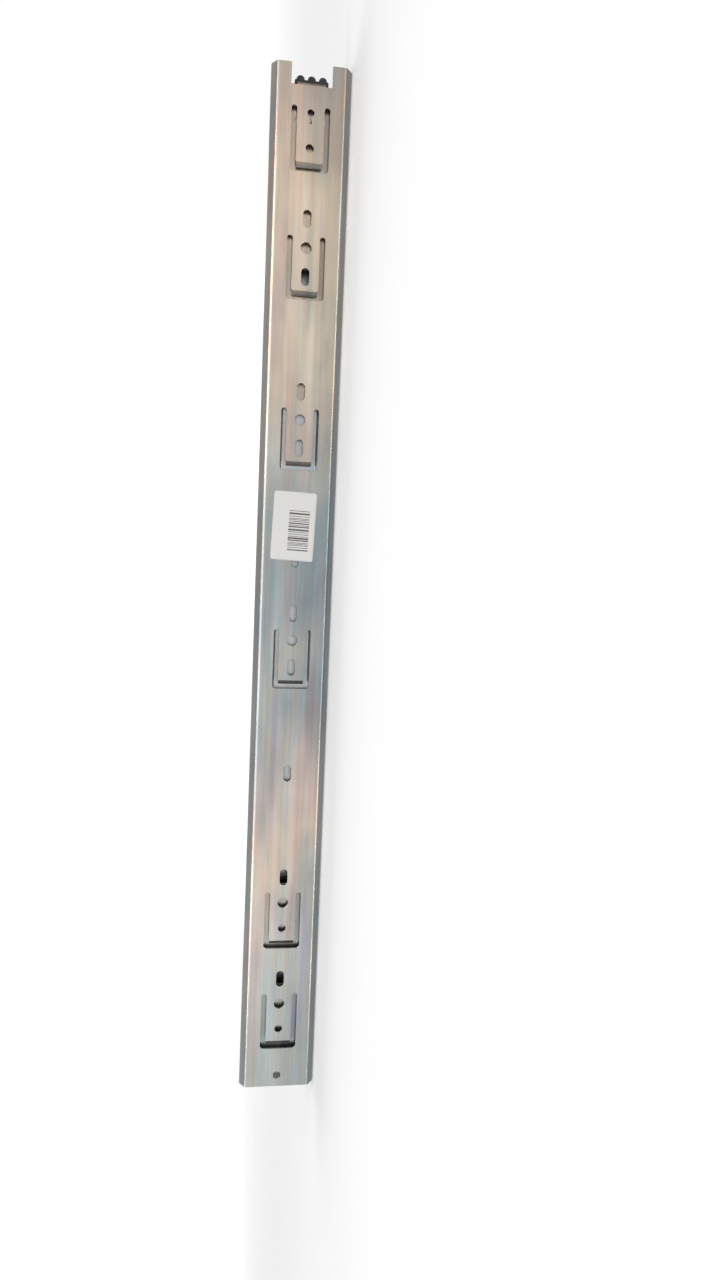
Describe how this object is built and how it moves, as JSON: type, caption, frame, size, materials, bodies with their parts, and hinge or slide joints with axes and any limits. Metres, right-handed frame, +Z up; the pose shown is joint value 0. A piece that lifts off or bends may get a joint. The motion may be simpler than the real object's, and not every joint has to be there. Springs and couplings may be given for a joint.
{
  "type": "cabinet drawer slide",
  "caption": "Full-extension ball-bearing drawer slide: telescoping steel channels on caged balls, with screw slots, spring tabs, a rear stop and a release lever.",
  "frame": {"origin": "on the cabinet mounting face, at mid-height of the front edge", "axes": "+X out of the cabinet mounting face, towards the cabinet side; +Y from the front to the rear; +Z up"},
  "size_m": [0.0127, 0.6, 0.0454],
  "materials": {
    "zinc_cabinet_member": "zinc plated, satin with a faint iridescent tint",
    "zinc_intermediate": "zinc plated, satin",
    "zinc_drawer_member": "zinc plated, satin",
    "cage_steel": "thin strip, satin",
    "ball_steel": "polished",
    "rivet_steel": "zinc plated, bright",
    "black_rubber": "matt",
    "black_plastic": "moulded",
    "white_plastic": "moulded",
    "paper_label": "plain white sticker"
  },
  "bodies": {
    "cabinet": {"cabinet_member": "zinc_cabinet_member", "rear_bumper": "black_rubber"},
    "outer_cage": {"outer_ball_cage": "cage_steel", "outer_balls_upper_front": "ball_steel", "outer_balls_upper_rear": "ball_steel", "outer_balls_lower_front": "ball_steel", "outer_balls_lower_rear": "ball_steel"},
    "intermediate": {"intermediate_member": "zinc_intermediate", "front_buffer": "white_plastic", "rear_detent": "white_plastic", "detent_rivet_upper": "rivet_steel", "detent_rivet_lower": "rivet_steel"},
    "inner_cage": {"inner_ball_cage": "cage_steel", "inner_balls_upper_front": "ball_steel", "inner_balls_upper_rear": "ball_steel", "inner_balls_lower_front": "ball_steel", "inner_balls_lower_rear": "ball_steel"},
    "drawer": {"drawer_member": "zinc_drawer_member", "lever_pivot_rivet": "rivet_steel"},
    "lever": {"release_lever": "black_plastic"}
  },
  "joints": [
    {"name": "intermediate_slide", "type": "slide", "parent": "cabinet", "child": "intermediate", "axis": [0, -1, 0], "range_m": [0, 0.3]},
    {"name": "outer_cage_slide", "type": "slide", "parent": "cabinet", "child": "outer_cage", "axis": [0, -1, 0], "range_m": [0, 0.15]},
    {"name": "drawer_slide", "type": "slide", "parent": "intermediate", "child": "drawer", "axis": [0, -1, 0], "range_m": [0, 0.3]},
    {"name": "inner_cage_slide", "type": "slide", "parent": "intermediate", "child": "inner_cage", "axis": [0, -1, 0], "range_m": [0, 0.15]},
    {"name": "release_lever_pivot", "type": "hinge", "parent": "drawer", "child": "lever", "pos_m": [-0.009, 0.275, 0.0056], "axis": [1, 0, 0], "range_deg": [0, 4.5], "stiffness_Nm_per_rad": 0.1, "springref_deg": -5.73}
  ],
  "couplings": [
    {"joint": "outer_cage_slide", "follows": "intermediate_slide", "ratio": 0.5},
    {"joint": "inner_cage_slide", "follows": "drawer_slide", "ratio": 0.5}
  ]
}
